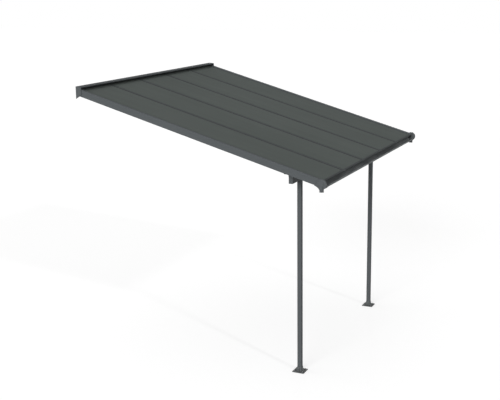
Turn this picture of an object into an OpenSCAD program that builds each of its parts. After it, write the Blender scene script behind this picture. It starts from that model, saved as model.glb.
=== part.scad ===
// Wall-hung patio pergola: a hooded wall ledger, five hollow roof sheets in slotted
// rafters, a round-bottomed gutter, a set-back beam and two slender posts on foot plates.
// Frame: the ledger's flat back face is the plane Y = 0, and the origin is on it, at its anchors' height.
// X runs along the wall, -Y runs out to the gutter, +Z is up. Millimetres.

/* [Overall] */
// Height of the ledger's anchors above the ground
ledger_height = 2939; // [2700:10:3200]
// Pitch of the rafters, centre to centre
bay = 610; // [560:5:640]
// Distance from the outermost bay line to a side rafter's outer face
side_margin = 8; // [4:1:20]
// Fall of the roof in degrees
slope = 15.5; // [12:0.1:18]
// Distance from the wall to the gutter's centre line
gutter_reach = 2850; // [2500:10:3100]
// Height of the roof's top plane above the origin, at the wall
roof_rise = 39; // [34:1:42]
// Play between pieces that seat on one another
seat = 0.3; // [0.1:0.05:0.6]

/* [Rafters] */
// Depth of a rafter, square to the roof
rafter_depth = 62; // [50:1:66]
// Width of a rafter's top and middle flanges
rafter_flange = 42; // [36:1:52]
// Thickness of the extruded flanges and walls
rafter_wall = 2.5; // [2:0.1:3]
// Width of a rafter's lower box
rafter_stem = 26; // [20:1:32]
// Width of the web between two sheets
rafter_web = 10; // [8:0.5:12]
// Width of a side rafter
side_width = 38; // [34:1:42]
// Width of a side rafter's outer chamber
side_chamber = 16; // [13:0.5:18]
// Height of a side rafter's rib above the middle rafters
side_rise = 12; // [6:0.5:14]
// Rounding of that rib's edges
side_round = 3; // [1:0.5:4]
// Thickness of the plug on a rafter's lower end
plug_thickness = 3; // [2:0.5:5]

/* [Sheets] */
// Thickness of a roof sheet
sheet_thickness = 8; // [6:0.5:10]
// Thickness of a sheet's skins and ribs
sheet_skin = 0.8; // [0.6:0.1:1.2]
// Pitch of the ribs inside a sheet
rib_pitch = 24; // [16:1:32]
// Play between a sheet and its slot, above and below
sheet_play = 0.3; // [0.1:0.05:0.5]
// Thickness of the channel that closes a sheet's lower edge
closure_wall = 1.5; // [1:0.1:2]
// Play between that channel and the sheet in it
closure_play = 0.15; // [0.05:0.05:0.3]
// Depth of that channel along the roof
closure_depth = 22; // [14:1:30]

/* [Ledger] */
// Height of the ledger's top above its anchors
ledger_rise = 69; // [64:1:74]
// Drop of the ledger's end caps below its anchors
cap_drop = 65; // [58:1:70]
// Depth of the ledger's back plate below its anchors
plate_drop = 46; // [42:1:52]
// How far the hood stands out from the wall
hood_reach = 70; // [62:1:80]
// Drop of the hood's top towards its nose
hood_fall = 5; // [2:0.5:8]
// Rounding of the hood's nose
hood_round = 6; // [4:0.5:9]
// Height of the lip along the hood's nose
hood_lip = 9; // [6:0.5:14]
// Thickness of the ledger's walls
ledger_wall = 3; // [2.5:0.1:4]
// Reach of the seat under the rafters
seat_reach = 27; // [20:1:34]
// Radius of an anchor hole in the back plate
anchor_radius = 4.5; // [3.5:0.5:6]
// Thickness of a ledger cap
ledger_cap_thickness = 5; // [4:0.5:7]

/* [Gutter] */
// Outer radius of the gutter
gutter_radius = 42; // [38:1:44]
// Thickness of the gutter's wall
gutter_wall = 2.2; // [1.8:0.1:3]
// Drop of the gutter's front lip below its centre
lip_drop = 8; // [4:1:14]
// Radius of the bead along that lip
lip_bead = 3; // [2:0.5:4]
// Drop of the gutter's centre below the roof's top plane
gutter_drop = 30; // [28:1:36]
// Reach of the gutter's ledge under the rafters
ledge_reach = 30; // [20:1:40]
// Thickness of the cap's wall round the gutter
cap_wall = 2.7; // [2:0.1:4]
// Reach of a cap's disc beyond the gutter's radius
disc_reach = 9; // [6:0.5:10]
// Lift of the disc's centre above the gutter's
disc_lift = 5; // [3:0.5:8]
// Distance of the disc's centre behind the gutter's, towards the wall
disc_back = 7; // [3:0.5:9]
// Thickness of a gutter cap's disc
disc_thickness = 14; // [10:0.5:16]
// Height of the raised ring on a cap's disc
ring_height = 3; // [2:0.5:4]
// Width of that ring
ring_width = 8; // [5:0.5:11]
// Reach of the cap's web behind the gutter
web_back = 44; // [36:1:50]
// Length of a cap's sleeve round the gutter
sleeve_length = 60; // [50:1:80]
// Outer radius of the spout
spout_radius = 21; // [18:0.5:22]
// Thickness of the spout's wall
spout_wall = 2.5; // [2:0.1:3]
// Drop of the spout's mouth below the gutter
spout_drop = 31; // [24:0.5:36]
// Distance of the spout's centre outside the side rafter's outer face
spout_out = 8; // [5:0.5:9]
// Distance of the spout from the gutter's centre line, towards the wall
spout_back = 9; // [6:1:12]

/* [Beam] */
// Distance from the gutter's centre line back to the beam's
beam_setback = 400; // [300:5:500]
// Distance from a side rafter's outer face to the beam's end
beam_inset = 147; // [100:1:200]
// Width of the beam
beam_width = 45; // [40:1:48]
// Height of the beam
beam_height = 118; // [100:1:130]
// Wall of the beam
beam_wall = 2.5; // [2:0.1:3.5]
// Rounding of the beam's edges
beam_round = 3; // [2:0.5:5]
// Least height of a saddle between the beam and a rafter
saddle_height = 6; // [4:1:10]
// Length of a saddle along the beam
saddle_length = 60; // [40:1:90]
// Thickness of a beam cap
beam_cap_thickness = 4; // [3:0.5:6]
// Thickness of the bracket that ties a side rafter to the beam
tie_thickness = 4; // [3:0.5:5]
// Length of that bracket's leg down the beam's back face
tie_leg = 48; // [40:1:60]
// Width of the bracket's arm
tie_width = 32; // [26:1:36]

/* [Posts] */
// Distance from the beam's end to a post's centre
post_inset = 239; // [150:1:400]
// Side of a post
post_side = 45; // [40:1:48]
// Wall of a post
post_wall = 2.5; // [2:0.1:3.5]
// Radius of a post's corners
post_corner = 3; // [2.6:0.1:6]
// Width of the groove down each face of a post
groove_width = 8; // [4:0.5:12]
// Depth of that groove
groove_depth = 1.2; // [0.6:0.1:1.5]
// Length of the plate on a post's head
head_length = 120; // [80:1:160]
// Thickness of the plate on a post's head
head_thickness = 5; // [4:0.5:8]

/* [Feet] */
// Side of a foot plate
foot_side = 133; // [120:1:150]
// Thickness of a foot plate
foot_thickness = 6; // [4:0.5:8]
// Rounding of a foot plate's corners
foot_round = 8; // [4:1:14]
// Radius of a bolt hole in a foot plate
bolt_radius = 5.5; // [4.5:0.5:7]
// Distance of a bolt hole from the plate's edges
bolt_margin = 22; // [16:1:24]
// Height of a foot's socket
socket_height = 46; // [36:1:70]
// Wall of a foot's socket
socket_wall = 3.5; // [3:0.5:5]
// Thickness of the four webs that brace a socket
web_thickness = 4; // [3:0.5:6]
// Reach of those webs from the socket
web_reach = 26; // [16:1:32]

/* [Hidden] */
$fn = 48;
eps = 1;
bays = 5;
fall = tan(slope);
drop_cos = cos(slope);
half_width = bays / 2 * bay + side_margin;
slot_height = sheet_thickness + 2 * sheet_play;
sheet_top = -rafter_wall - sheet_play;
slot_floor = -rafter_wall - slot_height;
under_slot = slot_floor - rafter_wall;
under_rafter = rafter_depth / drop_cos;
gutter_z = plane_z(gutter_reach) - gutter_drop;
back_face = gutter_reach - gutter_radius;
back_top = plane_z(back_face + gutter_wall) + under_slot / drop_cos - seat;
sleeve_radius = gutter_radius + seat + cap_wall;
disc_radius = gutter_radius + disc_reach;
spout_x = half_width + spout_out;
spout_y = -gutter_reach + spout_back;
spout_mouth = gutter_z - gutter_radius - spout_drop;
roof_length = gutter_reach / drop_cos;
beam_reach = gutter_reach - beam_setback;
beam_half = half_width - beam_inset - seat - beam_cap_thickness;
beam_top = plane_z(beam_reach + beam_width / 2) - under_rafter - saddle_height;
beam_middle = beam_top - beam_height / 2;
beam_bottom = beam_top - beam_height;
post_x = beam_half + beam_cap_thickness - post_inset;
ground_z = -ledger_height;
post_top = beam_bottom - head_thickness;
post_bottom = ground_z + foot_thickness;
anchors = [0.25 * bay, bay, 2 * bay];

// Height of the roof's top plane at a distance from the wall
function plane_z(reach) = roof_rise - fall * reach;

// Centre line of a middle rafter
function rafter_x(n) = (n - bays / 2) * bay;

// Placing a section along the wall: the drawing's x and y are Y and Z
module along_x(x0, x1) {
    translate([x0, 0, 0]) rotate([90, 0, 90]) linear_extrude(x1 - x0) children();
}

// Turning pieces onto the roof: Y runs up the slope and Z is square to it
module on_roof() {
    translate([0, 0, roof_rise]) rotate([slope, 0, 0]) children();
}

// Placing a section down the roof: the drawing's y is square to the roof
module down_roof(u0, u1) {
    on_roof() translate([0, -u0, 0]) rotate([90, 0, 0]) linear_extrude(u1 - u0) children();
}

module flip_x(side) {
    if (side < 0) mirror([1, 0, 0]) children();
    else children();
}

module rounded(w, h, r) {
    union() {
        square([w - 2 * r, h], center = true);
        square([w, h - 2 * r], center = true);
        for (i = [-1, 1]) for (j = [-1, 1])
            translate([i * (w / 2 - r), j * (h / 2 - r)]) circle(r);
    }
}

// Wall ledger: back plate, thin hood with a lipped nose, and the seat under the rafters
module ledger_section() {
    nose_y = -hood_reach + hood_round;
    nose_z = ledger_rise - hood_fall - hood_round;
    lip_z = ledger_rise - hood_fall - hood_lip;
    seat_back = plane_z(0) - under_rafter - seat;
    seat_front = plane_z(seat_reach) - under_rafter - seat;
    union() {
        translate([-ledger_wall, -plate_drop]) square([ledger_wall, ledger_rise + plate_drop]);
        polygon([[0, ledger_rise], [nose_y, nose_z + hood_round], [nose_y, nose_z + hood_round - ledger_wall],
                 [0, ledger_rise - ledger_wall]]);
        translate([nose_y, nose_z]) difference() {
            circle(hood_round);
            circle(hood_round - ledger_wall);
            translate([0, -hood_round - eps]) square(2 * (hood_round + eps));
            translate([-hood_round - eps, -hood_round - eps]) square([2 * (hood_round + eps), hood_round + eps]);
        }
        translate([-hood_reach, lip_z]) square([ledger_wall, nose_z - lip_z]);
        polygon([[0, seat_back], [-seat_reach, seat_front], [-seat_reach, seat_front - ledger_wall],
                 [-ledger_wall, seat_back - ledger_wall - seat_reach / 3], [0, seat_back - ledger_wall - seat_reach / 3]]);
    }
}

module wall_ledger() {
    difference() {
        along_x(-half_width, half_width) ledger_section();
        for (i = [-1, 1]) for (x = anchors)
            translate([i * x, eps, 0]) rotate([90, 0, 0]) cylinder(r = anchor_radius, h = ledger_wall + 2 * eps);
    }
}

// Moulded cap over the ledger's end and the side rafter's upper end
module ledger_cap_outline(inset) {
    nose_y = -hood_reach + hood_round;
    nose_z = ledger_rise - hood_fall - hood_round;
    r = hood_round - inset;
    union() {
        polygon([[-inset, -cap_drop + inset], [-inset, ledger_rise - inset], [nose_y, nose_z + r], [nose_y, nose_z],
                 [-hood_reach + inset, nose_z], [-hood_reach + inset, -cap_drop / 3 + inset / 2]]);
        translate([nose_y, nose_z]) circle(r);
    }
}

module ledger_cap(side) {
    flip_x(side) union() {
        along_x(half_width, half_width + ledger_cap_thickness) ledger_cap_outline(0);
        along_x(half_width + ledger_cap_thickness, half_width + ledger_cap_thickness + 1.5) ledger_cap_outline(5);
    }
}

// Cutting a rafter to the ledger at its upper end and to the gutter at its lower end
module rafter_run() {
    wide = 2 * half_width;
    deep = 4 * rafter_depth;
    difference() {
        down_roof(-rafter_depth, roof_length) children();
        translate([-wide, -ledger_wall - seat, -deep]) cube([2 * wide, deep, 2 * deep]);
        intersection() {
            translate([-wide, -gutter_reach - deep, gutter_z - deep])
                cube([2 * wide, deep + gutter_radius + seat, 2 * deep]);
            down_roof(-rafter_depth, roof_length + deep)
                translate([-wide, -2 * deep]) square([2 * wide, 2 * deep + under_slot]);
        }
    }
}

// A side rafter seats one sheet edge in its inner slot, under a raised box rib
module side_section() {
    x0 = half_width - side_width;
    xc = half_width - side_chamber;
    r = side_round;
    difference() {
        polygon([[x0, -rafter_depth], [half_width, -rafter_depth], [half_width, side_rise - r],
                 [half_width - 0.3 * r, side_rise - 0.3 * r], [half_width - r, side_rise], [x0 + r, side_rise],
                 [x0, side_rise - r], [x0, -rafter_wall], [xc, -rafter_wall], [xc, slot_floor], [x0, slot_floor]]);
        translate([x0 + rafter_wall, -rafter_depth + rafter_wall])
            square([side_width - 2 * rafter_wall, rafter_depth + under_slot - rafter_wall]);
        translate([xc + rafter_wall, slot_floor])
            square([side_chamber - 2 * rafter_wall, side_rise - rafter_wall - slot_floor]);
        translate([x0 + rafter_wall, 0])
            square([side_width - side_chamber - rafter_wall, side_rise - rafter_wall]);
    }
}

module side_rafter(side) {
    flip_x(side) rafter_run() side_section();
}

// A middle rafter seats two sheets, left and right of its web, above a hollow stem
module rafter_section() {
    bevel = rafter_wall / 2;
    half = rafter_flange / 2;
    web = rafter_web / 2;
    stem = rafter_stem / 2;
    difference() {
        polygon([[-half, -rafter_wall], [-half, -bevel], [-half + bevel, 0], [half - bevel, 0], [half, -bevel],
                 [half, -rafter_wall], [web, -rafter_wall], [web, slot_floor], [half, slot_floor],
                 [half, under_slot], [stem, under_slot], [stem, -rafter_depth], [-stem, -rafter_depth],
                 [-stem, under_slot], [-half, under_slot], [-half, slot_floor], [-web, slot_floor],
                 [-web, -rafter_wall]]);
        translate([-stem + rafter_wall, -rafter_depth + rafter_wall])
            square([rafter_stem - 2 * rafter_wall, rafter_depth + under_slot - rafter_wall]);
        translate([-web + rafter_wall, slot_floor + bevel])
            square([rafter_web - 2 * rafter_wall, slot_height - 2 * bevel]);
    }
}

module rafter(n) {
    translate([rafter_x(n), 0, 0]) rafter_run() rafter_section();
}

// Plug that closes a middle rafter's lower end above the trough
module rafter_plug(n) {
    translate([rafter_x(n), 0, 0]) down_roof(roof_length, roof_length + plug_thickness)
        translate([-rafter_flange / 2, under_slot]) square([rafter_flange, -under_slot]);
}

// Sheets run from the ledger to the gutter's centre line, with a row of channels inside
function sheet_left(n) = n == 1 ? -half_width + side_chamber + seat : rafter_x(n - 1) + rafter_web / 2 + seat;
function sheet_right(n) = n == bays ? half_width - side_chamber - seat : rafter_x(n) - rafter_web / 2 - seat;

module roof_panel(n) {
    left = sheet_left(n);
    wide = sheet_right(n) - left;
    count = round(wide / rib_pitch);
    pitch = (wide - sheet_skin) / count;
    down_roof((ledger_wall + sheet_thickness) / drop_cos, roof_length - closure_wall - seat)
        translate([left, sheet_top - sheet_thickness]) difference() {
            square([wide, sheet_thickness]);
            for (i = [0 : count - 1]) translate([i * pitch + sheet_skin, sheet_skin])
                square([pitch - sheet_skin, sheet_thickness - 2 * sheet_skin]);
        }
}

// Channel that closes a sheet's lower edge between two rafters
function clear_left(n) = n == 1 ? -half_width + side_width + seat : rafter_x(n - 1) + rafter_flange / 2 + seat;
function clear_right(n) = n == bays ? half_width - side_width - seat : rafter_x(n) - rafter_flange / 2 - seat;

module panel_closure(n) {
    inner = sheet_thickness + 2 * closure_play;
    low = sheet_top - sheet_thickness - closure_play;
    on_roof() along_x(clear_left(n), clear_right(n)) translate([-roof_length, low]) difference() {
        translate([0, -closure_wall]) square([closure_depth, inner + 2 * closure_wall]);
        translate([closure_wall, 0]) square([closure_depth, inner]);
    }
}

// Gutter: a round trough with a beaded lip, a back wall the rafters butt against and a ledge under them
module gutter_trough() {
    r = gutter_radius;
    translate([-gutter_reach, gutter_z]) difference() {
        circle(r);
        circle(r - gutter_wall);
        translate([-r - eps, -lip_drop]) square([r + eps, 2 * r]);
        translate([-eps, 0]) square([r + 2 * eps, 2 * r]);
    }
}

module gutter_lip() {
    lip_y = sqrt(pow(gutter_radius - gutter_wall / 2, 2) - lip_drop * lip_drop);
    translate([-gutter_reach - lip_y, gutter_z - lip_drop]) circle(lip_bead);
}

module gutter_back() {
    translate([-back_face - gutter_wall, gutter_z]) square([gutter_wall, back_top - gutter_z]);
}

module gutter_ledge() {
    ledge_drop = under_rafter + seat;
    ledge_out = back_face - ledge_reach;
    below = gutter_z - plane_z(gutter_reach - gutter_radius) + ledge_drop + gutter_wall / 2;
    ledge_in = gutter_reach - sqrt(pow(gutter_radius - gutter_wall / 2, 2) - below * below);
    polygon([[-ledge_in, plane_z(ledge_in) - ledge_drop], [-ledge_out, plane_z(ledge_out) - ledge_drop],
             [-ledge_out, plane_z(ledge_out) - ledge_drop - gutter_wall],
             [-ledge_in, plane_z(ledge_in) - ledge_drop - gutter_wall]]);
}

module gutter() {
    end = half_width - seat;
    difference() {
        union() {
            along_x(-end, end) gutter_trough();
            along_x(-end, end) gutter_lip();
            along_x(-end, end) gutter_back();
            along_x(-end, end) gutter_ledge();
        }
        for (i = [-1, 1]) translate([i * spout_x, spout_y, spout_mouth])
            cylinder(r = spout_radius - spout_wall, h = spout_drop + gutter_radius);
    }
}

// Gutter cap: disc with a raised ring, concave web from the rafter to the spout, sleeve and spout
function bend(a, b, c, t) = (1 - t) * (1 - t) * a + 2 * t * (1 - t) * b + t * t * c;

module cap_web() {
    web_z = plane_z(back_face - web_back) - under_rafter - gutter_z;
    side_y = spout_back + spout_radius;
    corner = [gutter_radius + web_back, web_z];
    knee = [side_y + web_back / 6, -0.75 * gutter_radius];
    foot_z = -gutter_radius - spout_drop / 2;
    polygon(concat([[0, 0], [gutter_radius, gutter_radius / 2]],
                   [for (i = [0 : 8]) bend(corner, knee, [side_y, foot_z], i / 8)],
                   [[spout_back - spout_radius, foot_z], [spout_back - spout_radius, -gutter_radius / 2]]));
}

module gutter_cap(side) {
    outer = half_width + disc_thickness;
    flip_x(side) difference() {
        union() {
            along_x(half_width, outer) translate([-gutter_reach, gutter_z]) union() {
                translate([disc_back, disc_lift]) circle(disc_radius);
                cap_web();
            }
            along_x(outer, outer + ring_height)
                translate([-gutter_reach + disc_back, gutter_z + disc_lift]) difference() {
                    circle(disc_radius);
                    circle(disc_radius - ring_width);
                }
            along_x(outer, outer + ring_height)
                translate([-gutter_reach + disc_back, gutter_z + disc_lift]) circle(disc_radius / 3);
            along_x(half_width - sleeve_length, half_width) translate([-gutter_reach, gutter_z]) difference() {
                circle(sleeve_radius);
                circle(gutter_radius + seat);
                translate([-sleeve_radius - eps, -lip_drop - lip_bead - eps])
                    square([sleeve_radius + eps, 2 * sleeve_radius]);
                translate([-eps, -sleeve_radius * 0.62]) square([sleeve_radius + 2 * eps, 2 * sleeve_radius]);
            }
            translate([spout_x, spout_y, spout_mouth]) cylinder(r = spout_radius, h = spout_drop + gutter_radius / 2);
            translate([spout_x, spout_y, spout_mouth]) cylinder(r = spout_radius + 2, h = 4);
            translate([spout_x, spout_y, spout_mouth + spout_drop + gutter_radius / 2])
                cylinder(r1 = spout_radius, r2 = 2, h = spout_radius);
        }
        translate([spout_x, spout_y, spout_mouth - eps])
            cylinder(r = spout_radius - spout_wall, h = spout_drop + gutter_radius / 4);
        along_x(half_width - sleeve_length - eps, half_width - eps / 2) translate([-gutter_reach, gutter_z])
            circle(gutter_radius + seat);
    }
}

// Beam under the rafters, set back from the gutter
module support_beam() {
    along_x(-beam_half, beam_half) translate([-beam_reach, beam_middle]) difference() {
        rounded(beam_width, beam_height, beam_round);
        rounded(beam_width - 2 * beam_wall, beam_height - 2 * beam_wall, beam_round / 3);
    }
}

module beam_cap(side) {
    flip_x(side) along_x(beam_half + seat, beam_half + seat + beam_cap_thickness)
        translate([-beam_reach, beam_middle]) rounded(beam_width, beam_height, beam_round);
}

// Saddle whose sloped top meets a rafter's underside
module beam_saddle(n) {
    wide = 2 * half_width;
    translate([rafter_x(n), 0, 0]) intersection() {
        translate([-saddle_length / 2, -beam_reach - beam_width / 2 + beam_round, beam_top])
            cube([saddle_length, beam_width - 2 * beam_round, 3 * beam_width]);
        down_roof(0, roof_length) translate([-wide, -3 * rafter_depth]) square([2 * wide, 2 * rafter_depth]);
    }
}

// Bracket from the beam's back face and top out to the side rafter's inner face
module beam_tie(side) {
    inner_x = half_width - side_width - seat;
    back_y = -beam_reach + beam_width / 2;
    start_x = beam_half - saddle_length;
    front_reach = beam_reach - beam_width / 2 - tie_thickness + tie_width;
    leg_top = plane_z(front_reach) + under_slot / drop_cos - 2 * seat;
    flip_x(side) union() {
        translate([start_x, back_y, beam_top - tie_leg]) cube([saddle_length - seat, tie_thickness, tie_leg + tie_thickness]);
        translate([start_x, back_y + tie_thickness - tie_width, beam_top])
            cube([inner_x - start_x, tie_width, tie_thickness]);
        translate([inner_x - tie_thickness, back_y + tie_thickness - tie_width, beam_top])
            cube([tie_thickness, tie_width, leg_top - beam_top]);
    }
}

// Post: square tube with rounded corners and a groove down each face
module post_profile() {
    difference() {
        rounded(post_side, post_side, post_corner);
        rounded(post_side - 2 * post_wall, post_side - 2 * post_wall, post_corner - post_wall);
        for (a = [0, 90, 180, 270]) rotate(a) translate([post_side / 2 - groove_depth, -groove_width / 2])
            square([groove_depth + eps, groove_width]);
    }
}

module post(side) {
    translate([side * post_x, -beam_reach, post_bottom]) linear_extrude(post_top - post_bottom) post_profile();
}

module post_head(side) {
    translate([side * post_x, -beam_reach, post_top]) linear_extrude(head_thickness)
        rounded(head_length, max(beam_width, post_side), beam_round);
}

// Foot: plate with four bolt holes, a socket round the post and four bracing webs
module foot(side) {
    hole_place = foot_side / 2 - bolt_margin;
    socket = post_side + 2 * seat;
    outer = socket + 2 * socket_wall;
    translate([side * post_x, -beam_reach, ground_z]) union() {
        linear_extrude(foot_thickness) difference() {
            rounded(foot_side, foot_side, foot_round);
            for (i = [-1, 1]) for (j = [-1, 1]) translate([i * hole_place, j * hole_place]) circle(bolt_radius);
        }
        translate([0, 0, foot_thickness]) linear_extrude(socket_height) difference() {
            rounded(outer, outer, post_corner + socket_wall);
            rounded(socket, socket, post_corner);
        }
        for (a = [0, 90, 180, 270]) rotate([0, 0, a])
            translate([outer / 2 - 0.5, web_thickness / 2, foot_thickness]) rotate([90, 0, 0])
                linear_extrude(web_thickness)
                    polygon([[0, 0], [web_reach, 0], [web_reach, 3], [2, socket_height - 5], [0, socket_height - 5]]);
    }
}

color("dimgray") wall_ledger();
color("gray") ledger_cap(-1);  // ledger_cap_left
color("gray") ledger_cap(1);  // ledger_cap_right
color("dimgray") side_rafter(-1);  // side_rafter_left
color("dimgray") side_rafter(1);  // side_rafter_right
color("dimgray") rafter(1);  // rafter_1
color("dimgray") rafter(2);  // rafter_2
color("dimgray") rafter(3);  // rafter_3
color("dimgray") rafter(4);  // rafter_4
color("gray") rafter_plug(1);  // rafter_plug_1
color("gray") rafter_plug(2);  // rafter_plug_2
color("gray") rafter_plug(3);  // rafter_plug_3
color("gray") rafter_plug(4);  // rafter_plug_4
color("slategray") roof_panel(1);  // roof_panel_1
color("slategray") roof_panel(2);  // roof_panel_2
color("slategray") roof_panel(3);  // roof_panel_3
color("slategray") roof_panel(4);  // roof_panel_4
color("slategray") roof_panel(5);  // roof_panel_5
color("silver") panel_closure(1);  // panel_closure_1
color("silver") panel_closure(2);  // panel_closure_2
color("silver") panel_closure(3);  // panel_closure_3
color("silver") panel_closure(4);  // panel_closure_4
color("silver") panel_closure(5);  // panel_closure_5
color("dimgray") gutter();
color("gray") gutter_cap(-1);  // gutter_cap_left
color("gray") gutter_cap(1);  // gutter_cap_right
color("dimgray") support_beam();
color("gray") beam_cap(-1);  // beam_cap_left
color("gray") beam_cap(1);  // beam_cap_right
color("gray") beam_saddle(1);  // beam_saddle_1
color("gray") beam_saddle(2);  // beam_saddle_2
color("gray") beam_saddle(3);  // beam_saddle_3
color("gray") beam_saddle(4);  // beam_saddle_4
color("gray") beam_tie(-1);  // beam_tie_left
color("gray") beam_tie(1);  // beam_tie_right
color("dimgray") post(-1);  // post_left
color("dimgray") post(1);  // post_right
color("gray") post_head(-1);  // post_head_left
color("gray") post_head(1);  // post_head_right
color("gray") foot(-1);  // foot_left
color("gray") foot(1);  // foot_right
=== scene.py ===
# %% [markdown]
# # Wall-hung aluminium pergola
# A lean-to patio cover hangs on a wall at the back and stands on two slender posts at the front.
# Its solids come from the packed CAD model. This script gives each solid its finish, adds the small
# fasteners and rubber seals that the CAD leaves out, and lights the whole as in a catalogue picture.
# Everything is in metres: X runs along the wall, -Y runs out to the gutter and Z is up.

# %% Loading the frame
import math

import bmesh
import bpy
from mathutils import Matrix, Vector


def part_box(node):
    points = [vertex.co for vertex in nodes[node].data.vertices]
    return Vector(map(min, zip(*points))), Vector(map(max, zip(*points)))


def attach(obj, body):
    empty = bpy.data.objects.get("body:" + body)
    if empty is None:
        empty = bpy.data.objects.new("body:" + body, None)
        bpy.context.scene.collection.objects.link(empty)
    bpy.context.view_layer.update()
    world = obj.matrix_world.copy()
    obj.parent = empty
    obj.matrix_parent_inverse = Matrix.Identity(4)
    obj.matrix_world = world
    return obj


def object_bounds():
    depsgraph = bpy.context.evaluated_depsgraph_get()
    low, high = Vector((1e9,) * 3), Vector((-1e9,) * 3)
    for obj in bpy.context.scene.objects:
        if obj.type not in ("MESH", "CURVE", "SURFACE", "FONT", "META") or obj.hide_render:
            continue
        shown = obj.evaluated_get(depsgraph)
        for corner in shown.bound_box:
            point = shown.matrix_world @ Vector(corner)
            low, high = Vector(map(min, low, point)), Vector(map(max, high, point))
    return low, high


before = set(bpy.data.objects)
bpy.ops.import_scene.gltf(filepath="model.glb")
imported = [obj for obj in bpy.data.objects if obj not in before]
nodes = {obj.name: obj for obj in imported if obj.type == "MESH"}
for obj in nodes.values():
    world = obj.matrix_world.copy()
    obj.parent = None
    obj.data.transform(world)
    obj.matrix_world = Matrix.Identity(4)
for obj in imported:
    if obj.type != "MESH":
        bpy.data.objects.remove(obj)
cad_box = [list(corner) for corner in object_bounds()]
GROUND = cad_box[0][2]
print("CAD box", [[round(v, 3) for v in corner] for corner in cad_box])

# %% [markdown]
# ## Colours
# The photograph shows one dark anthracite grey on every profile and a slightly greener, duller grey on
# the sheets. Colours are picked as a painter would, in the 0 to 255 values of a colour chart, and
# Blender's shaders want them as linear light, so a small helper converts them. Its numbers are those of
# the usual display curve: a straight stretch near black and a power curve above it.

# %% Chart colours to linear light
CHART_TOP = 255
CURVE_KNEE = 0.04045
CURVE_SLOPE = 12.92
CURVE_OFFSET = 0.055
CURVE_POWER = 2.4

def chart(red, green, blue):
    def linear(value):
        value = value / CHART_TOP
        if value <= CURVE_KNEE:
            return value / CURVE_SLOPE
        return ((value + CURVE_OFFSET) / (1 + CURVE_OFFSET)) ** CURVE_POWER
    return (linear(red), linear(green), linear(blue), 1.0)

def shaded(color, share):
    return [value * share for value in color[:3]] + [1.0]

print("mid grey in linear light", [round(v, 3) for v in chart(128, 128, 128)[:3]])

# %% [markdown]
# The profiles, feet, caps and sheets each get their own grey, with lighter ones for dust and wear, which
# also paint highlights on edges. The gutter and the feet are written a little lighter as painted light,
# which lifts the shade in the gutter's trough and under the roof on the feet.

# %% The object's greys
ANTHRACITE = chart(83, 87, 89)
# Dust grey, also used for the painted edge highlight on the moulded caps.
ANTHRACITE_DUST_AND_HIGHLIGHT = chart(98, 101, 101)
# Lighter grey for edges: rubbed wear and a painted highlight.
ANTHRACITE_RUBBED_AND_HIGHLIGHT = chart(128, 131, 132)
RAFTER_GREY = chart(76, 80, 81)
# Gutter written lighter: painted light that lifts the shade in its trough.
GUTTER_GREY_PAINTED_LIGHT = chart(96, 100, 101)
GUTTER_SILT = chart(136, 140, 140)
CLOSURE_GREY = chart(70, 74, 75)
# Feet written lighter, with a light top coat: painted light for the shade under the roof, and dust.
FOOT_GREY_PAINTED_LIGHT = chart(96, 99, 100)
FOOT_DUST_AND_LIGHT = chart(136, 136, 133)
MOULDED_GREY = chart(84, 88, 90)
SHEET_GREY = chart(95, 101, 98)
SHEET_DARK = chart(89, 95, 92)
SHEET_RIB = chart(74, 80, 78)
RUBBER_BLACK = chart(34, 36, 37)
RUBBER_WORN = chart(46, 48, 48)
STEEL = chart(168, 170, 172)
STEEL_DULL = chart(140, 143, 146)
STEEL_BLACKENED = chart(92, 94, 96)
STEEL_BLACKEST = chart(74, 76, 78)
print("anthracite", [round(v, 3) for v in ANTHRACITE[:3]])

# %% [markdown] ## A small kit for shader nodes Every finish below is a Principled shader fed by a few
# noise textures. Blender's mix node keeps one set of sockets for each kind of value, so its colour
# sockets are picked by number. A noise mostly keeps to the middle of its range, so recipes stretch that
# middle to the range they want.

# %% Node helpers
MIX_FACTOR = 0
MIX_FIRST = 6
MIX_SECOND = 7
MIX_RESULT = 2
EDGE_FLAT = 0.97
EDGE_SHARP = 0.86
NOISE_MIDDLE = (0.3, 0.7)

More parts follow.
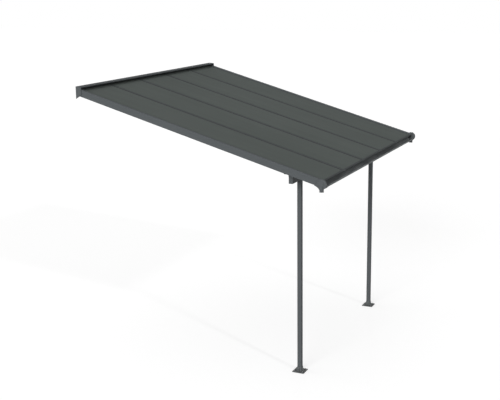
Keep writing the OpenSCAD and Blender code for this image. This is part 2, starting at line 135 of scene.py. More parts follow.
class Recipe:
    def __init__(self, name):
        self.material = bpy.data.materials.new(name)
        self.material.use_nodes = True
        self.tree = self.material.node_tree
        self.tree.nodes.clear()
        self.out = self.tree.nodes.new("ShaderNodeOutputMaterial")
        self.coords = self.tree.nodes.new("ShaderNodeTexCoord")

    def add(self, kind, **sockets):
        node = self.tree.nodes.new(kind)
        for key, value in sockets.items():
            self.feed(node, key.replace("_", " "), value)
        return node

    def feed(self, node, key, value):
        socket = node.inputs[key]
        if isinstance(value, bpy.types.NodeSocket):
            self.tree.links.new(value, socket)
        else:
            socket.default_value = value

    def math(self, operation, a, b=0.0):
        node = self.tree.nodes.new("ShaderNodeMath")
        node.operation = operation
        for index, value in enumerate((a, b)):
            self.feed(node, index, value)
        return node.outputs[0]

    def noise(self, scale, detail=3.0, stretch=(1, 1, 1)):
        place = self.add("ShaderNodeMapping", Vector=self.coords.outputs["Object"])
        place.inputs["Scale"].default_value = stretch
        node = self.add("ShaderNodeTexNoise", Vector=place.outputs[0], Scale=scale, Detail=detail)
        return node.outputs["Fac"]

    def remap(self, value, low, high, to_low=0.0, to_high=1.0):
        node = self.tree.nodes.new("ShaderNodeMapRange")
        node.clamp = True
        self.tree.links.new(value, node.inputs[0])
        for index, number in enumerate((low, high, to_low, to_high)):
            node.inputs[index + 1].default_value = number
        return node.outputs[0]

    def mix(self, factor, first, second):
        node = self.tree.nodes.new("ShaderNodeMix")
        node.data_type = "RGBA"
        self.feed(node, MIX_FACTOR, factor)
        self.feed(node, MIX_FIRST, first)
        self.feed(node, MIX_SECOND, second)
        return node.outputs[MIX_RESULT]

    def bump(self, height, strength, distance):
        node = self.add("ShaderNodeBump", Height=height, Strength=strength, Distance=distance)
        return node.outputs[0]

    def edges(self, radius):
        """A mask that is 1 along convex and hollow edges and 0 on flat faces."""
        soft = self.add("ShaderNodeBevel", Radius=radius)
        hard = self.add("ShaderNodeNewGeometry").outputs["True Normal"]
        dot = self.tree.nodes.new("ShaderNodeVectorMath")
        dot.operation = "DOT_PRODUCT"
        self.tree.links.new(soft.outputs[0], dot.inputs[0])
        self.tree.links.new(hard, dot.inputs[1])
        return self.remap(dot.outputs["Value"], EDGE_FLAT, EDGE_SHARP)

    def finish(self, color, roughness, normal, metallic=0.0, specular=0.5):
        shader = self.tree.nodes.new("ShaderNodeBsdfPrincipled")
        self.feed(shader, "Base Color", color)
        self.feed(shader, "Roughness", roughness)
        shader.inputs["Metallic"].default_value = metallic
        shader.inputs["Specular IOR Level"].default_value = specular
        self.tree.links.new(normal, shader.inputs["Normal"])
        self.tree.links.new(shader.outputs[0], self.out.inputs[0])
        return self.material

print("recipe steps", [step for step in vars(Recipe) if not step.startswith("_")])

# %% [markdown]
# ## Powder coat
# The profiles are aluminium with a baked grey powder coat: a satin skin with a very fine orange peel.
# A fine noise bumps the surface, a broad one shifts the tone a little, and a blotchy one lays faint
# dust on the faces that look up, which on the feet is also painted light. The coat is thinnest on sharp
# edges, where handling rubs it lighter, and that lighter edge is also a painted highlight. A Bevel node
# finds those edges, hollow ones too: its softened normal leans away from the true one only near an edge,
# so the angle between the two makes a mask, and a noise breaks the mask up.

# %% Powder-coated aluminium
EDGE_RADIUS = 0.0016
PEEL_GRAIN = 900.0
PEEL_STRENGTH = 0.18
PEEL_DEPTH = 0.0004
CLOUD_GRAIN = 2.2
CLOUD_SPOTS = (0.35, 0.7)
CLOUD_SHARE = 0.35
CLOUD_SHADE = 0.86
DUST_AND_LIGHT_GRAIN = 26.0
DUST_AND_LIGHT_SPOTS = (0.42, 0.70)
DUST_AND_LIGHT_LIES_ON = (0.2, 0.95)
DUST_SHARE = 0.45
SILT_GRAIN = 14.0
SILT_STRETCH = (0.25, 1.0, 1.0)
SILT_SPOTS = (0.40, 0.66)
SILT_LIES_ON = (0.05, 0.7)
WEAR_AND_HIGHLIGHT_GRAIN = 75.0
WEAR_AND_HIGHLIGHT_SPOTS = (0.46, 0.66)
WEAR_AND_HIGHLIGHT_LEAST = 0.05
WEAR_AND_HIGHLIGHT_MOST = 0.6
SATIN_GRAIN = 60.0
SATIN_SMOOTH = 0.52
SATIN_ROUGH = 0.62
SATIN_SPECULAR = 0.14

def dusted_and_lit(r, color, dust_and_light, share):
    # Up-facing faces are lightened: dust, and on the feet also painted light.
    up = r.add("ShaderNodeSeparateXYZ", Vector=r.add("ShaderNodeNewGeometry").outputs["Normal"]).outputs["Z"]
    spots = r.remap(r.noise(DUST_AND_LIGHT_GRAIN, 5.0), *DUST_AND_LIGHT_SPOTS)
    dusty_and_lit = r.math("MULTIPLY", r.remap(up, *DUST_AND_LIGHT_LIES_ON, 0.0, share), spots)
    return r.mix(dusty_and_lit, color, dust_and_light), up

def silted(r, color, up, share):
    tide = r.remap(r.noise(SILT_GRAIN, 6.0, SILT_STRETCH), *SILT_SPOTS)
    lying = r.remap(up, *SILT_LIES_ON, 0.0, share)
    return r.mix(r.math("MULTIPLY", lying, tide), color, GUTTER_SILT)

def rubbed_and_highlit(r, color):
    # Edges painted lighter: partly rubbed wear, partly a painted highlight, on hollow edges too.
    broken = r.remap(r.noise(WEAR_AND_HIGHLIGHT_GRAIN, 4.0), *WEAR_AND_HIGHLIGHT_SPOTS, WEAR_AND_HIGHLIGHT_LEAST, WEAR_AND_HIGHLIGHT_MOST)
    return r.mix(r.math("MULTIPLY", r.edges(EDGE_RADIUS), broken), color, ANTHRACITE_RUBBED_AND_HIGHLIGHT)

def powder_coat(name, base, dust_and_light, silt=0.0, dust_and_light_share=DUST_SHARE):
    r = Recipe(name)
    cloud = r.remap(r.noise(CLOUD_GRAIN, 4.0), *CLOUD_SPOTS, 0.0, CLOUD_SHARE)
    tone = r.mix(cloud, base, shaded(base, CLOUD_SHADE))
    color, up = dusted_and_lit(r, tone, dust_and_light, dust_and_light_share)
    if silt:
        color = silted(r, color, up, silt)
    color = rubbed_and_highlit(r, color)
    rough = r.remap(r.noise(SATIN_GRAIN, 3.0), *NOISE_MIDDLE, SATIN_SMOOTH, SATIN_ROUGH)
    peel = r.bump(r.noise(PEEL_GRAIN, 2.0), PEEL_STRENGTH, PEEL_DEPTH)
    return r.finish(color, rough, peel, specular=SATIN_SPECULAR)

print("coat recipe ready, edges rubbed within", EDGE_RADIUS * 1000, "mm")

# %% [markdown]
# The gutter's coat also has silt, drawn out along the gutter as the water leaves it. The feet get the
# strongest lightening on the faces that look up: partly dust, partly painted light for the roof's shade.

# %% The coats of the profiles
SILT_SHARE = 0.9
FOOT_DUST_AND_LIGHT_SHARE = 0.9

coat_frame = powder_coat("powder_coat_profiles", ANTHRACITE, ANTHRACITE_DUST_AND_HIGHLIGHT)
coat_rafter = powder_coat("powder_coat_rafters", RAFTER_GREY, ANTHRACITE)
coat_gutter = powder_coat("powder_coat_gutter", GUTTER_GREY_PAINTED_LIGHT, ANTHRACITE_DUST_AND_HIGHLIGHT, silt=SILT_SHARE)
coat_closure = powder_coat("powder_coat_closures", CLOSURE_GREY, ANTHRACITE)
# The feet's strong top lightening is dust and painted light.
coat_foot = powder_coat("powder_coat_feet", FOOT_GREY_PAINTED_LIGHT, FOOT_DUST_AND_LIGHT, dust_and_light_share=FOOT_DUST_AND_LIGHT_SHARE)
coat_fitting = powder_coat("powder_coat_fittings", ANTHRACITE, ANTHRACITE_DUST_AND_HIGHLIGHT)
print("powder coats made", len(bpy.data.materials))

# %% [markdown]
# ## Moulded plastic
# End caps, plugs and saddles are moulded to the same grey, but duller, with a spark-eroded grain.
# Their edges are painted lighter, as wear and as a painted highlight.

# %% Moulded caps
MOULD_GRAIN = 420.0
MOULD_BUMP = 0.3
MOULD_DEPTH = 0.0003
MOULD_CLOUD = 7.0
MOULD_CLOUD_SHARE = 0.5
MOULD_SHADE = 0.9
MOULD_SMOOTH = 0.52
MOULD_ROUGH = 0.66
MOULD_EDGE_WEAR_AND_HIGHLIGHT = 0.35
MOULD_SPECULAR = 0.2

def moulded_plastic():
    r = Recipe("moulded_plastic")
    grain = r.noise(MOULD_GRAIN, 4.0)
    cloud = r.remap(r.noise(MOULD_CLOUD, 3.0), *NOISE_MIDDLE, 0.0, MOULD_CLOUD_SHARE)
    color = r.mix(cloud, MOULDED_GREY, shaded(MOULDED_GREY, MOULD_SHADE))
    # Lighter edges: wear and a painted highlight.
    color = r.mix(r.math("MULTIPLY", r.edges(EDGE_RADIUS), MOULD_EDGE_WEAR_AND_HIGHLIGHT), color, ANTHRACITE_DUST_AND_HIGHLIGHT)
    rough = r.remap(grain, *NOISE_MIDDLE, MOULD_SMOOTH, MOULD_ROUGH)
    return r.finish(color, rough, r.bump(grain, MOULD_BUMP, MOULD_DEPTH), specular=MOULD_SPECULAR)

caps_plastic = moulded_plastic()
print("plastic made", caps_plastic.name)

# %% [markdown]
# ## Hollow roof sheets
# Each sheet is a twin-wall plastic sheet: two skins with a row of thin ribs between them. The ribs show
# through as faint lines that run down the roof, and rain leaves soft streaks the same way. The line
# pattern starts at each sheet's own left edge, so the lines lie over the ribs of the solid.

# %% Twin-wall sheet finish
RIB_PITCH = 0.024
RIB_LINE = 0.10
RIB_SHADE = 0.6
RIB_BUMP = 0.4
RIB_DEPTH = 0.0005
STREAK_GRAIN = 9.0
STREAK_STRETCH = (1.0, 0.06, 0.06)
STREAK_SPOTS = (0.52, 0.8)
STREAK_SHARE = 0.25
SHEET_CLOUD = 1.3
SHEET_CLOUD_SPOTS = (0.35, 0.65)
SHEET_CLOUD_SHARE = 0.6
SHEET_SMOOTH = 0.60
SHEET_ROUGH = 0.72
SHEET_SPECULAR = 0.12

def sheet_finish(name, left, pitch):
    r = Recipe(name)
    x = r.add("ShaderNodeSeparateXYZ", Vector=r.coords.outputs["Object"]).outputs["X"]
    along = r.math("DIVIDE", r.math("SUBTRACT", x, left), pitch)
    phase = r.math("ABSOLUTE", r.math("SUBTRACT", r.math("FRACT", along), 0.5))
    rib = r.remap(phase, 0.5 - RIB_LINE, 0.5)
    streaks = r.noise(STREAK_GRAIN, 5.0, STREAK_STRETCH)
    cloud = r.remap(r.noise(SHEET_CLOUD, 3.0), *SHEET_CLOUD_SPOTS, 0.0, SHEET_CLOUD_SHARE)
    tone = r.mix(cloud, SHEET_GREY, SHEET_DARK)
    tone = r.mix(r.math("MULTIPLY", rib, RIB_SHADE), tone, SHEET_RIB)
    color = r.mix(r.remap(streaks, *STREAK_SPOTS, 0.0, STREAK_SHARE), tone, ANTHRACITE_DUST_AND_HIGHLIGHT)
    rough = r.remap(streaks, *NOISE_MIDDLE, SHEET_SMOOTH, SHEET_ROUGH)
    hollow = r.math("MULTIPLY", rib, -1.0)
    return r.finish(color, rough, r.bump(hollow, RIB_BUMP, RIB_DEPTH), specular=SHEET_SPECULAR)

panel_finishes = {}
for number in range(1, 6):
    name = f"roof_panel_{number}"
    low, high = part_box(name)
    width = high[0] - low[0]
    pitch = width / round(width / RIB_PITCH)
    panel_finishes[name] = sheet_finish(f"twin_wall_{number}", low[0], pitch)
print("sheets finished", len(panel_finishes), "last rib pitch", round(pitch, 5))

# %% [markdown]
# ## Rubber and steel
# Black rubber seals bed the sheets, zinc-plated steel bolts hold the feet and the ledger, and blackened
# screws hold the moulded caps.

# %% Seals and bolts
RUBBER_GRAIN = 300.0
RUBBER_CLOUD = 5.0
RUBBER_SPOTS = (0.4, 0.7)
RUBBER_SMOOTH = 0.6
RUBBER_ROUGH = 0.75
RUBBER_BUMP = 0.3
RUBBER_DEPTH = 0.0003
RUBBER_SPECULAR = 0.3
SPANGLE_GRAIN = 220.0
SPANGLE_SPOTS = (0.35, 0.65)
SPANGLE_BUMP = 0.1
SPANGLE_DEPTH = 0.0002
STEEL_SMOOTH = 0.28
STEEL_ROUGH = 0.42
STEEL_METAL = 0.9

def rubber_finish():
    r = Recipe("rubber_seal")
    grain = r.noise(RUBBER_GRAIN, 3.0)
    color = r.mix(r.remap(r.noise(RUBBER_CLOUD, 3.0), *RUBBER_SPOTS), RUBBER_BLACK, RUBBER_WORN)
    rough = r.remap(grain, *NOISE_MIDDLE, RUBBER_SMOOTH, RUBBER_ROUGH)
    return r.finish(color, rough, r.bump(grain, RUBBER_BUMP, RUBBER_DEPTH), specular=RUBBER_SPECULAR)

def steel_finish(name, light, dark):
    r = Recipe(name)
    spangle = r.noise(SPANGLE_GRAIN, 4.0)
    color = r.mix(r.remap(spangle, *SPANGLE_SPOTS), light, dark)
    rough = r.remap(spangle, *NOISE_MIDDLE, STEEL_SMOOTH, STEEL_ROUGH)
    return r.finish(color, rough, r.bump(spangle, SPANGLE_BUMP, SPANGLE_DEPTH), metallic=STEEL_METAL)

rubber = rubber_finish()
steel = steel_finish("zinc_steel", STEEL, STEEL_DULL)
steel_dark = steel_finish("blackened_steel", STEEL_BLACKENED, STEEL_BLACKEST)
print("small finishes", rubber.name, steel.name, steel_dark.name)

# %% [markdown]
# ## Giving every solid its finish
# Each solid's name says which piece it is, and so which finish it wears. The script walks the nodes and
# puts that finish into each one's material slots.

# %% Assigning finishes
def finish_for(name):
    if name in panel_finishes:
        return panel_finishes[name]
    if "cap" in name or "saddle" in name or "plug" in name:
        return caps_plastic
    if name.startswith("foot"):
        return coat_foot
    if name.startswith("panel_closure"):
        return coat_closure
    if name.startswith("post_head") or name.startswith("beam_tie"):
        return coat_fitting
    if name.startswith("rafter_"):
        return coat_rafter
    if name == "gutter":
        return coat_gutter
    return coat_frame

for name, node in nodes.items():
    if not node.material_slots:
        node.data.materials.append(finish_for(name))
    for slot in node.material_slots:
        slot.material = finish_for(name)
print("solids finished", len(nodes))

# %% [markdown]
# ## Making small pieces
# Bolts, screws and seals are built with bmesh operators and joined into one mesh a place. A helper turns
# a bmesh into an object at the origin, gives it a finish, and tells the frame what carries it. Nothing on
# the cover moves, so every piece rides on the root body.

# %% Piece helper
SMOOTH_BELOW = 30

def make_piece(name, bm, finish):
    bmesh.ops.recalc_face_normals(bm, faces=bm.faces)
    mesh = bpy.data.meshes.new(name)
    bm.to_mesh(mesh)
    bm.free()
    piece = bpy.data.objects.new(name, mesh)
    bpy.context.scene.collection.objects.link(piece)
    mesh.materials.append(finish)
    for face in mesh.polygons:
        face.use_smooth = True
    bpy.context.view_layer.objects.active = piece
    mesh.set_sharp_from_angle(angle=math.radians(SMOOTH_BELOW))
    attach(piece, "root")
    print(name, "faces", len(mesh.polygons))

print("edges stay sharp above", SMOOTH_BELOW, "degrees")

# %% [markdown]
# A bolt's parts are turned about its own axis, standing on the origin, and then placed: a disc for the
# washer, a six-sided head with a chamfer, and a short stud end.

# %% Hex bolt
WASHER_SIDES = 24
HEAD_SIDES = 6
HEAD_FLAT = 0.8
HEAD_TOP_RATIO = 2.3
STUD_RADIUS = 0.004
STUD_TIP = 0.003
STUD_CHAMFER = 0.001
STUD_SIDES = 16

def disc(bm, radius, low, high, place, sides=WASHER_SIDES, top=None):
    made = bmesh.ops.create_cone(bm, cap_ends=True, segments=sides, radius1=radius, radius2=top or radius,
                                 depth=high - low)
    bmesh.ops.translate(bm, vec=(0, 0, (low + high) / 2), verts=made["verts"])
    bmesh.ops.transform(bm, matrix=place, verts=made["verts"])

def hex_bolt(bm, place, across=0.013, washer=0.011, thick=0.002, head=0.0065, stud=0.004):
    corner = across / math.sqrt(3)
    chamfer = thick + head * HEAD_FLAT
    top = thick + head
    disc(bm, washer, 0.0, thick, place)
    disc(bm, corner, thick, chamfer, place, HEAD_SIDES)
    disc(bm, corner, chamfer, top, place, HEAD_SIDES, across / HEAD_TOP_RATIO)
    if stud:
        end = top + stud
        disc(bm, STUD_RADIUS, top, end, place, STUD_SIDES)
        disc(bm, STUD_RADIUS, end, end + STUD_CHAMFER, place, STUD_SIDES, STUD_TIP)

print("hex bolt, stud radius", STUD_RADIUS)

# %% [markdown]
# A pan-head screw is three thin discs, of which the upper two narrow, so that it reads as a low dome.
# The last helper turns a bolt or screw so that it stands on a face, given a point on it and the way it
# looks.

# %% Pan screw and its placing
PAN_SIDES = 20
PAN_WALL = 0.45
PAN_SHOULDER = 0.8
PAN_SHOULDER_WIDE = 0.86
PAN_CROWN_WIDE = 0.55

def pan_screw(bm, place, radius=0.0042, high=0.0022):
    wall = high * PAN_WALL
    shoulder = high * PAN_SHOULDER
    disc(bm, radius, 0.0, wall, place, PAN_SIDES)
    disc(bm, radius, wall, shoulder, place, PAN_SIDES, radius * PAN_SHOULDER_WIDE)
    disc(bm, radius * PAN_SHOULDER_WIDE, shoulder, high, place, PAN_SIDES, radius * PAN_CROWN_WIDE)

def facing(point, direction):
    turn = Vector((0, 0, 1)).rotation_difference(Vector(direction)).to_matrix().to_4x4()
    return Matrix.Translation(Vector(point)) @ turn

print("pan screw, sides", PAN_SIDES)

# %% [markdown]
# ## Anchor bolts through the feet
# The photograph shows light spots near the corners of each foot plate. They are read as the heads of the
# anchor bolts, so four hex bolts with washers stand over the plate's four holes.

# %% Foot bolts
BOLT_MARGIN = 0.022
PLATE = 0.006
for side in ("left", "right"):
    low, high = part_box(f"foot_{side}")
    bm = bmesh.new()
    for x in (low[0] + BOLT_MARGIN, high[0] - BOLT_MARGIN):
        for y in (low[1] + BOLT_MARGIN, high[1] - BOLT_MARGIN):
            hex_bolt(bm, Matrix.Translation((x, y, low[2] + PLATE)))
    make_piece(f"foot_bolts_{side}", bm, steel)
print("foot bolts at", round(low[2] + PLATE, 4))

# %% [markdown]
# ## Screws in the foot sockets and post heads
# Four screws on each of the socket's left and right faces pin the post in it, and four more fix each head
# plate to the beam from below.

# %% Post screws
SOCKET_OUT = 0.0263
SOCKET_SCREW_HEIGHTS = (0.018, 0.036)
SOCKET_SCREW_SPREAD = 0.011
HEAD_SCREW_X = (-0.046, -0.030, 0.030, 0.046)
for side in ("left", "right"):
    low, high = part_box(f"foot_{side}")
    cx = (low[0] + high[0]) / 2
    cy = (low[1] + high[1]) / 2
    bm = bmesh.new()
    for height in SOCKET_SCREW_HEIGHTS:
        z = low[2] + PLATE + height
        for offset in (SOCKET_SCREW_SPREAD, -SOCKET_SCREW_SPREAD):
            for outward in (-1, 1):
                point = (cx + outward * SOCKET_OUT, cy + offset, z)
                pan_screw(bm, facing(point, (outward, 0, 0)))
    head_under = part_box(f"post_head_{side}")[0][2]
    for dx in HEAD_SCREW_X:
        pan_screw(bm, facing((cx + dx, cy, head_under), (0, 0, -1)))
    make_piece(f"post_screws_{side}", bm, coat_fitting)

# %% [markdown]
# ## Wall anchors
# Six bolts hold the ledger's back plate to the wall. They sit under the roof, one over each hole.

# %% Ledger anchors
ANCHOR_X = (0.1525, 0.610, 1.220)
ANCHOR_Z = 0.0
ANCHOR_STUD = 0.003
LEDGER_WALL = 0.003
bm = bmesh.new()
for x in ANCHOR_X:
    for sign in (-1, 1):
        hex_bolt(bm, facing((sign * x, -LEDGER_WALL, ANCHOR_Z), (0, -1, 0)), stud=ANCHOR_STUD)
make_piece("ledger_bolts", bm, steel)

# %% [markdown]
# ## Rubber seals
# A thin black seal runs along both edges of every rafter's top flange, where it presses on the sheet.
# From above it draws the dark line at each joint. A helper first finds a point on the roof from how far
# down the slope it lies and how far off the roof's top it stands.

# %% Places on the roof
SLOPE = math.radians(15.5)
ROOF_RISE = 0.039
GUTTER_REACH = 2.850
ROOF_LENGTH = GUTTER_REACH / math.cos(SLOPE)
DOWN = Vector((0, -math.cos(SLOPE), -math.sin(SLOPE)))
OUT = Vector((0, -math.sin(SLOPE), math.cos(SLOPE)))
ROOF_TOP = Vector((0, 0, ROOF_RISE))

def roof_point(x, down, out):
    return ROOF_TOP + DOWN * down + OUT * out + Vector((x, 0, 0))

print("roof length down the slope", round(ROOF_LENGTH, 3))

# %% [markdown]
# Each seal is a small section swept down the roof: the section's four corners are placed once, and the
# extrude operator draws them along the slope. The side rafters have a seal on their inner edge only.

# %% Seals down the roof
SEAL_WIDE = 0.0032
SEAL_HIGH = 0.0030
SEAL_CREST = 0.2
SEAL_SHOULDER = 0.75
SEAL_SHOULDER_HIGH = 0.7
SHEET_TOP = -0.0028
SEAL_START = 0.078
SEAL_STOP = 0.022
SIDE_WIDTH = 0.038

def seal(bm, x, inward):
    outline = (
        (0.0, SHEET_TOP),
        (SEAL_WIDE, SHEET_TOP),
        (SEAL_WIDE * SEAL_SHOULDER, SHEET_TOP + SEAL_HIGH * SEAL_SHOULDER_HIGH),
        (SEAL_WIDE * SEAL_CREST, SHEET_TOP + SEAL_HIGH),
    )
    verts = [bm.verts.new(roof_point(x + inward * dx, SEAL_START, out)) for dx, out in outline]
    face = bm.faces.new(verts)
    run = bmesh.ops.extrude_face_region(bm, geom=[face])
    moved = [v for v in run["geom"] if isinstance(v, bmesh.types.BMVert)]
    bmesh.ops.translate(bm, vec=DOWN * (ROOF_LENGTH - SEAL_START - SEAL_STOP), verts=moved)

bm = bmesh.new()
for number in range(1, 5):
    low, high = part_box(f"rafter_{number}")
    seal(bm, low[0], -1)
    seal(bm, high[0], 1)
seal(bm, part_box("side_rafter_left")[0][0] + SIDE_WIDTH, 1)
seal(bm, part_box("side_rafter_right")[1][0] - SIDE_WIDTH, -1)
make_piece("rafter_seals", bm, rubber)

# %% [markdown]
# ## Screws on the rafter plugs
# One small screw fixes each plug to the end of its rafter, over the gutter.

# %% Plug screws
PLUG_OUT = 0.003
PLUG_MIDDLE = -0.0068
PLUG_SCREW = {"radius": 0.0030, "high": 0.0015}
bm = bmesh.new()
for number in range(1, 5):
    low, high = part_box(f"rafter_plug_{number}")
    point = roof_point((low[0] + high[0]) / 2, ROOF_LENGTH + PLUG_OUT, PLUG_MIDDLE)
    pan_screw(bm, facing(point, DOWN), **PLUG_SCREW)
make_piece("plug_screws", bm, coat_fitting)

# %% [markdown]
# ## Bolts on the tie brackets
# The photograph shows one small dark mark behind the beam's end. It is read as a bolt head on a bracket
# that ties the side rafter to the beam. Two hex heads hold each bracket's leg to the beam's back face,
# and two more hold its upturned leg to the side rafter.

# %% Tie bracket bolts
BEAM_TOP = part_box("support_beam")[1][2]
TIE_LEG = 0.048
TIE_THICK = 0.004
TIE_REACHES = (0.014, 0.045)
TIE_BOLT_LOW = 0.014
TIE_BOLT_MARGIN = 0.012
BEAM_BOLT = {"across": 0.010, "washer": 0.0085, "thick": 0.0015, "head": 0.005, "stud": 0.0}
RAFTER_BOLT = {"across": 0.008, "washer": 0.0075, "thick": 0.0012, "head": 0.004, "stud": 0.0}
for side, sign in (("left", -1), ("right", 1)):
    low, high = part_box(f"beam_tie_{side}")
    near, far = (high[0], low[0]) if sign < 0 else (low[0], high[0])
    bm = bmesh.new()
    for reach in TIE_REACHES:
        point = (near + sign * reach, high[1], BEAM_TOP - TIE_LEG / 2)
        hex_bolt(bm, facing(point, (0, 1, 0)), **BEAM_BOLT)
    upper = (BEAM_TOP + TIE_BOLT_LOW, high[2] - TIE_BOLT_MARGIN)
    for z in upper:
        point = (far - sign * TIE_THICK, (low[1] + high[1]) / 2, z)
        hex_bolt(bm, facing(point, (-sign, 0, 0)), **RAFTER_BOLT)
    make_piece(f"tie_bolts_{side}", bm, coat_fitting)
print("tie bolts, upper pair", [round(z, 3) for z in upper])

# %% [markdown]
# ## Screws on the end caps
# The moulded caps are held by small pan-head screws: two on each ledger cap, two on each beam cap, and
# four on each gutter cap, between its rim and its middle and clear of the spout.

# %% Cap screws
CAP_SCREW = {"radius": 0.0036, "high": 0.0018}
DISC_SCREW = {"radius": 0.0034, "high": 0.0018}
LEDGER_CAP_PLACES = ((-0.018, 0.040), (-0.018, -0.036))
BEAM_CAP_SHARES = (0.18, 0.82)
DISC_SCREW_ANGLES = (40, 140, 200, 340)
DISC_SCREW_RING = 0.030
DISC_RADIUS = 0.051
DISC_THICK = 0.014
DISC_BACK = 0.007
DISC_CENTRE_Y = DISC_BACK - GUTTER_REACH

def outer_face(name, sign):
    low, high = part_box(name)
    return high[0] if sign > 0 else low[0]

for side, sign in (("left", -1), ("right", 1)):
    bm = bmesh.new()
    outer = outer_face(f"ledger_cap_{side}", sign)
    for y, z in LEDGER_CAP_PLACES:
        pan_screw(bm, facing((outer, y, z), (sign, 0, 0)), **CAP_SCREW)
    low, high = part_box(f"beam_cap_{side}")
    outer = outer_face(f"beam_cap_{side}", sign)
    for share in BEAM_CAP_SHARES:
        z = low[2] + (high[2] - low[2]) * share
        pan_screw(bm, facing((outer, (low[1] + high[1]) / 2, z), (sign, 0, 0)), **CAP_SCREW)
    centre_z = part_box(f"gutter_cap_{side}")[1][2] - DISC_RADIUS
    face_x = outer_face(f"side_rafter_{side}", sign) + sign * DISC_THICK
    for angle in DISC_SCREW_ANGLES:
        y = DISC_CENTRE_Y + DISC_SCREW_RING * math.cos(math.radians(angle))
        z = centre_z + DISC_SCREW_RING * math.sin(math.radians(angle))
        pan_screw(bm, facing((face_x, y, z), (sign, 0, 0)), **DISC_SCREW)
    make_piece(f"cap_screws_{side}", bm, steel_dark)
print("cap screws at", round(face_x, 4))

# %% [markdown]
# ## Floor and background
# The catalogue picture stands on plain white. The floor is a wide plane that adds its own white to a weak
# diffuse reflection, so it reads as white where the lamps reach it and keeps the object's soft shadow.

# %% Floor
FLOOR_HALF = 60.0
FLOOR_DROP = 0.0005
FLOOR_GLOW = 0.65
FLOOR_DIFFUSE = 0.50

def floor_finish():
    r = Recipe("studio_floor")
    seen = r.add("ShaderNodeLightPath")
    mirrored = r.math("MAXIMUM", seen.outputs["Is Camera Ray"], seen.outputs["Is Glossy Ray"])
    visible = r.math("MAXIMUM", mirrored, seen.outputs["Is Transmission Ray"])
    glow = r.add("ShaderNodeEmission", Color=(1, 1, 1, 1), Strength=r.math("MULTIPLY", visible, FLOOR_GLOW))
    matt = r.add("ShaderNodeBsdfDiffuse", Color=(FLOOR_DIFFUSE,) * 3 + (1,))
    both = r.tree.nodes.new("ShaderNodeAddShader")
    r.tree.links.new(glow.outputs[0], both.inputs[0])
    r.tree.links.new(matt.outputs[0], both.inputs[1])
    r.tree.links.new(both.outputs[0], r.out.inputs[0])
    return r.material

bm = bmesh.new()
bmesh.ops.create_grid(bm, x_segments=1, y_segments=1, size=FLOOR_HALF)
bmesh.ops.translate(bm, vec=(0, 0, GROUND - FLOOR_DROP), verts=bm.verts)
mesh = bpy.data.meshes.new("studio_floor")
bm.to_mesh(mesh)
bm.free()
floor = bpy.data.objects.new("studio_floor", mesh)
bpy.context.scene.collection.objects.link(floor)
mesh.materials.append(floor_finish())
print("floor at", round(GROUND - FLOOR_DROP, 4))

# %% [markdown]
# ## Light
# A pale sky lights everything softly, and is white to the camera. A broad lamp on the left makes the
# faces that look left the lightest, as in the photograph. A small sun from the front left lays the pale
# shadows of the posts on the floor. A broad lamp behind and a low one on the right, which passes under
# the roof's slope so that it puts no glare on the sheets, show those sides as plainly as the front.

# %% World
SKY_LIGHT = 0.28
SKY_SEEN = 1.0
world = bpy.data.worlds.new("studio_sky")
bpy.context.scene.world = world
world.use_nodes = True
tree = world.node_tree
tree.nodes.clear()
sky_out = tree.nodes.new("ShaderNodeOutputWorld")
seen = tree.nodes.new("ShaderNodeLightPath")
lit = tree.nodes.new("ShaderNodeBackground")
lit.inputs["Strength"].default_value = SKY_LIGHT
white = tree.nodes.new("ShaderNodeBackground")
white.inputs["Strength"].default_value = SKY_SEEN
for node in (lit, white):
    node.inputs["Color"].default_value = (1, 1, 1, 1)
either = tree.nodes.new("ShaderNodeMath")
either.operation = "MAXIMUM"
tree.links.new(seen.outputs["Is Camera Ray"], either.inputs[0])
tree.links.new(seen.outputs["Is Transmission Ray"], either.inputs[1])
choose = tree.nodes.new("ShaderNodeMixShader")
tree.links.new(either.outputs[0], choose.inputs[0])
tree.links.new(lit.outputs[0], choose.inputs[1])
tree.links.new(white.outputs[0], choose.inputs[2])
tree.links.new(choose.outputs[0], sky_out.inputs[0])
print("sky lights the object at", SKY_LIGHT)

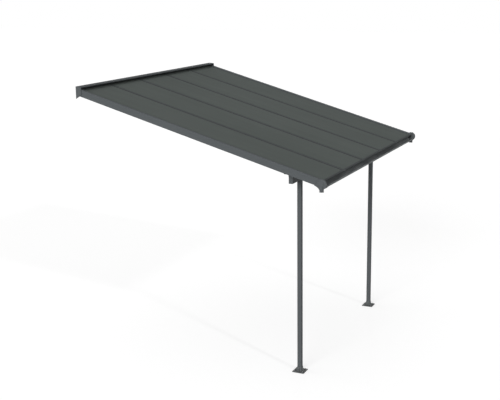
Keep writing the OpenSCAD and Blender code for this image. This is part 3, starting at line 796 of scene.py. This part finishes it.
# %% [markdown]
# Each lamp is a sun, so only the way it shines counts. It has a direction, a strength and a spread in
# degrees: the wider the spread, the softer its shadows.

# %% Lamps
LAMPS = {
    "sun_front_left": ((0.47, 0.88, -0.51), 0.60, 3),
    "broad_left": ((1.0, 0.0, -0.35), 2.25, 30),
    "broad_above": ((0.1, -0.25, -1.0), 0.26, 50),
    "broad_back": ((0.1, -1.0, -0.15), 1.2, 40),
    "low_right": ((-1.0, -0.35, -0.04), 0.9, 5),
}
for name, (direction, strength, spread) in LAMPS.items():
    data = bpy.data.lights.new(name, "SUN")
    data.energy = strength
    data.angle = math.radians(spread)
    sun = bpy.data.objects.new(name, data)
    sun.rotation_euler = Vector(direction).to_track_quat("-Z", "Y").to_euler()
    bpy.context.scene.collection.objects.link(sun)
    print(name, "strength", strength, "spread", spread)

# %% [markdown]
# ## Camera
# The camera was fitted to the straight edges in the photograph: it stands about ten metres left of the
# middle and six metres out from the wall, a little above the roof, with a moderately long lens. The
# photograph leans by less than one degree, so the camera rolls by the same amount.

# %% Camera
EYE = Vector((-9.895, -6.0854, 1.1697))
YAW = math.radians(64.3201)
PITCH = math.radians(-13.1799)
ROLL = math.radians(-0.7465)
FOCAL_PIXELS = 942.905
FRAME_WIDTH = 500
SENSOR = 36.0
FAR_LIMIT = 200

ahead = Vector((math.sin(YAW) * math.cos(PITCH), math.cos(YAW) * math.cos(PITCH), math.sin(PITCH)))
level = Vector((math.cos(YAW), -math.sin(YAW), 0))
above = level.cross(ahead)
right = level * math.cos(ROLL) + above * math.sin(ROLL)
up = above * math.cos(ROLL) - level * math.sin(ROLL)
turn = Matrix((right, up, -ahead)).transposed().to_4x4()
lens = bpy.data.cameras.new("camera")
lens.sensor_width = SENSOR
lens.lens = FOCAL_PIXELS / FRAME_WIDTH * SENSOR
lens.clip_end = FAR_LIMIT
camera = bpy.data.objects.new("camera", lens)
camera.matrix_world = Matrix.Translation(EYE) @ turn
bpy.context.scene.collection.objects.link(camera)
bpy.context.scene.camera = camera
bpy.context.scene.view_settings.view_transform = "Standard"
print("lens", round(lens.lens, 2), "mm")
